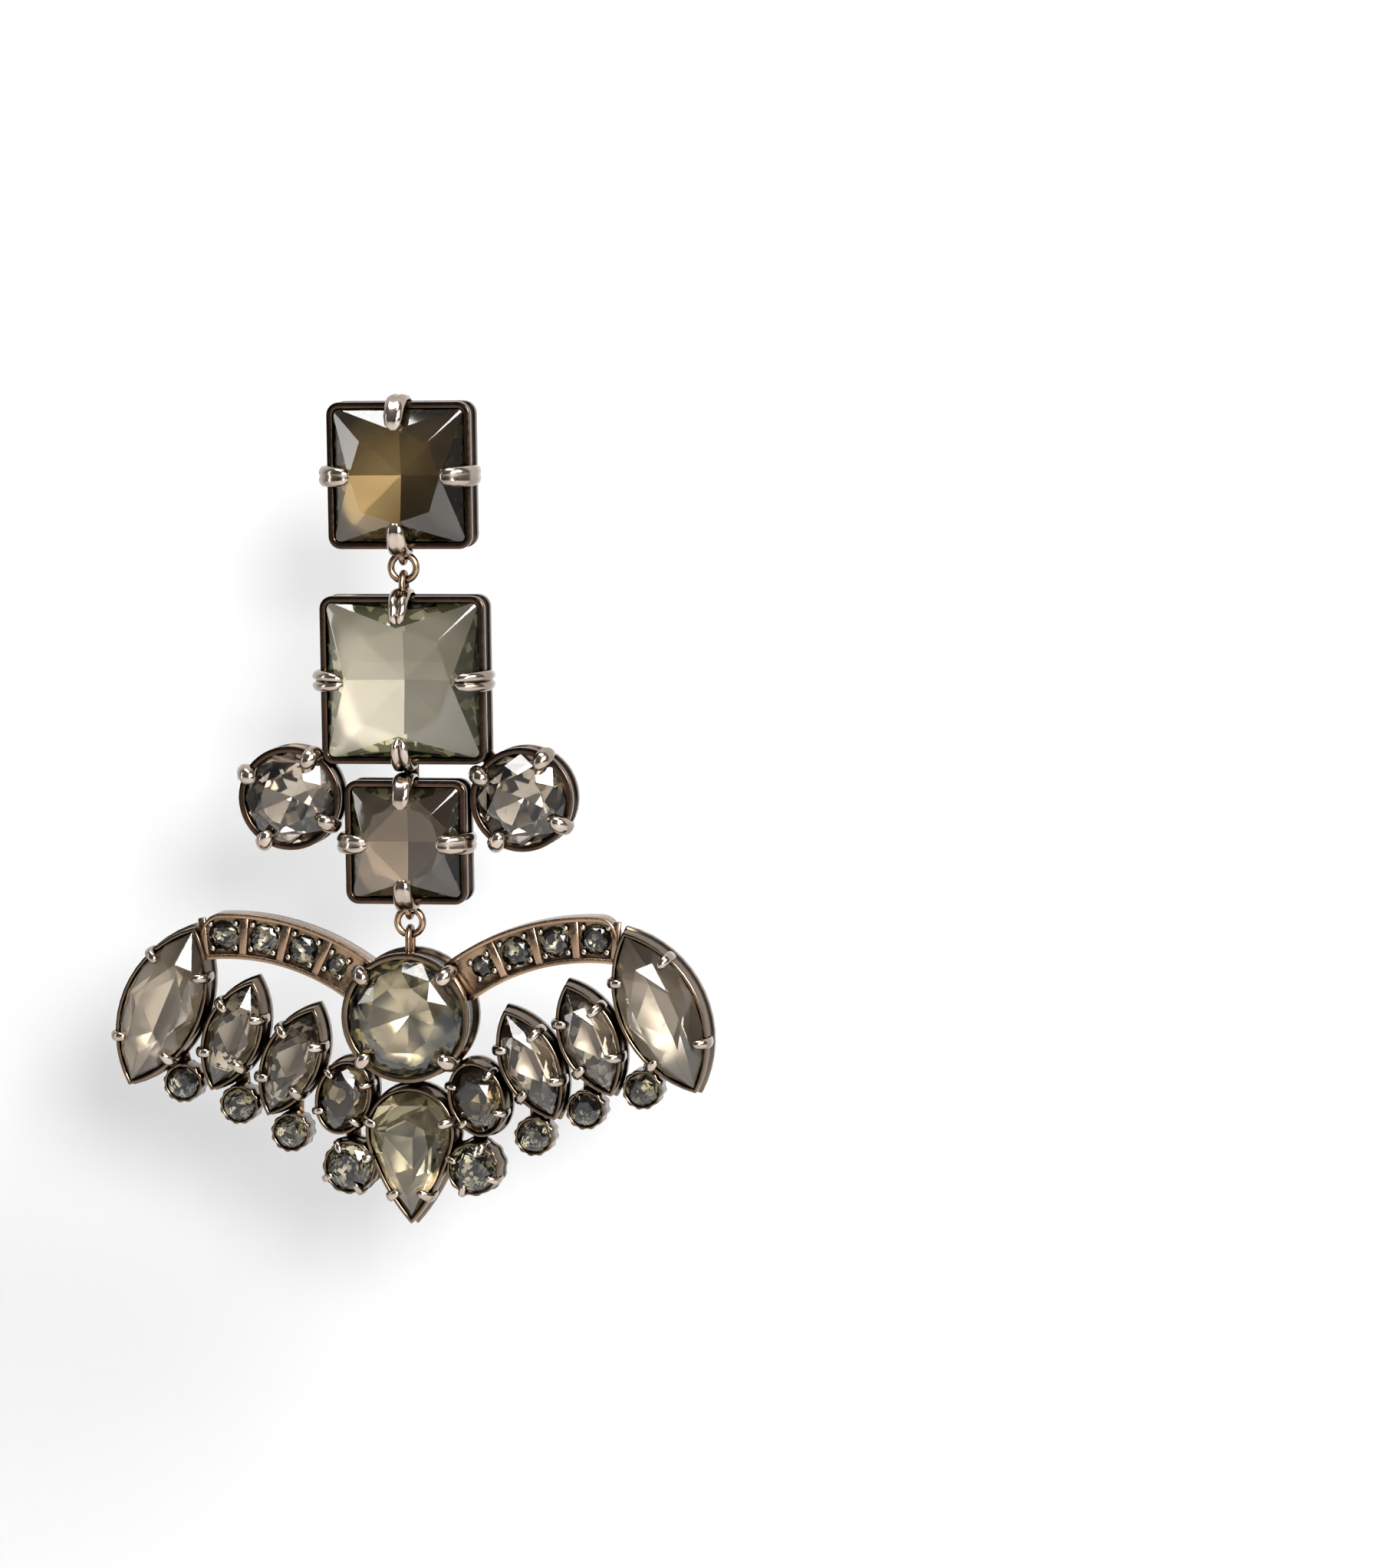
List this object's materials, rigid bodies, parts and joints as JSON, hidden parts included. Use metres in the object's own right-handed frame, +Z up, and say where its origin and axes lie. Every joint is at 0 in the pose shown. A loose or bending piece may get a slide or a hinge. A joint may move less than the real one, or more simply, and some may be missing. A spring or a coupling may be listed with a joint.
{
  "type": "chandelier earring",
  "caption": "Chandelier earring: a square stone top, a middle drop of square and round stones, and a winged lower drop of pointed stones, linked by jump rings.",
  "frame": {"origin": "root of the ear post, where its pad meets the ear", "axes": "+Z up as the earring hangs, +Y back along the ear post into the ear, -Y the front, +X to the right of someone who looks at the front"},
  "size_m": [0.0562, 0.0175, 0.0762],
  "materials": {
    "metal": "antiqued rose bronze plating, satin with polished claws",
    "olive_glass": "foil-backed cut glass, olive bronze",
    "grey_green_glass": "foil-backed cut glass, pale grey green",
    "taupe_glass": "foil-backed cut glass, taupe",
    "smoke_glass": "foil-backed cut glass, smoky grey brown",
    "khaki_glass": "foil-backed cut glass, pale khaki",
    "brown_glass": "foil-backed cut glass, dark brown",
    "dark_glass": "foil-backed cut glass, near black olive"
  },
  "bodies": {
    "top": {"ear_post": "metal", "top_setting": "metal", "top_square": "olive_glass"},
    "upper_ring": {"upper_ring": "metal"},
    "middle_drop": {"middle_setting": "metal", "middle_square": "grey_green_glass", "lower_square": "taupe_glass", "flank_round_right": "smoke_glass", "flank_round_left": "smoke_glass"},
    "lower_ring": {"lower_ring": "metal"},
    "wing_drop": {"wing_setting": "metal", "centre_round": "khaki_glass", "pear": "khaki_glass", "oval_right": "brown_glass", "inner_navette_right": "taupe_glass", "middle_navette_right": "taupe_glass", "outer_navette_right": "taupe_glass", "outer_chaton_right": "dark_glass", "second_chaton_right": "dark_glass", "inner_chaton_right": "dark_glass", "lower_chaton_right": "dark_glass", "oval_left": "brown_glass", "inner_navette_left": "taupe_glass", "middle_navette_left": "taupe_glass", "outer_navette_left": "taupe_glass", "outer_chaton_left": "dark_glass", "second_chaton_left": "dark_glass", "inner_chaton_left": "dark_glass", "lower_chaton_left": "dark_glass", "pave_1_right": "dark_glass", "pave_2_right": "dark_glass", "pave_3_right": "dark_glass", "pave_4_right": "dark_glass", "pave_1_left": "dark_glass", "pave_2_left": "dark_glass", "pave_3_left": "dark_glass", "pave_4_left": "dark_glass"}
  },
  "joints": [
    {"name": "upper_ring_swing", "type": "hinge", "parent": "top", "child": "upper_ring", "pos_m": [0, -0.00255, -0.00873], "axis": [1, 0, 0], "range_deg": [-40, 40]},
    {"name": "middle_drop_sway", "type": "hinge", "parent": "upper_ring", "child": "middle_drop", "pos_m": [0, -0.00255, -0.0099], "axis": [0, 1, 0], "range_deg": [-20, 20]},
    {"name": "lower_ring_swing", "type": "hinge", "parent": "middle_drop", "child": "lower_ring", "pos_m": [0, -0.00255, -0.04109], "axis": [1, 0, 0], "range_deg": [-40, 40]},
    {"name": "wing_drop_sway", "type": "hinge", "parent": "lower_ring", "child": "wing_drop", "pos_m": [0, -0.00255, -0.04227], "axis": [0, 1, 0], "range_deg": [-15, 15]}
  ]
}
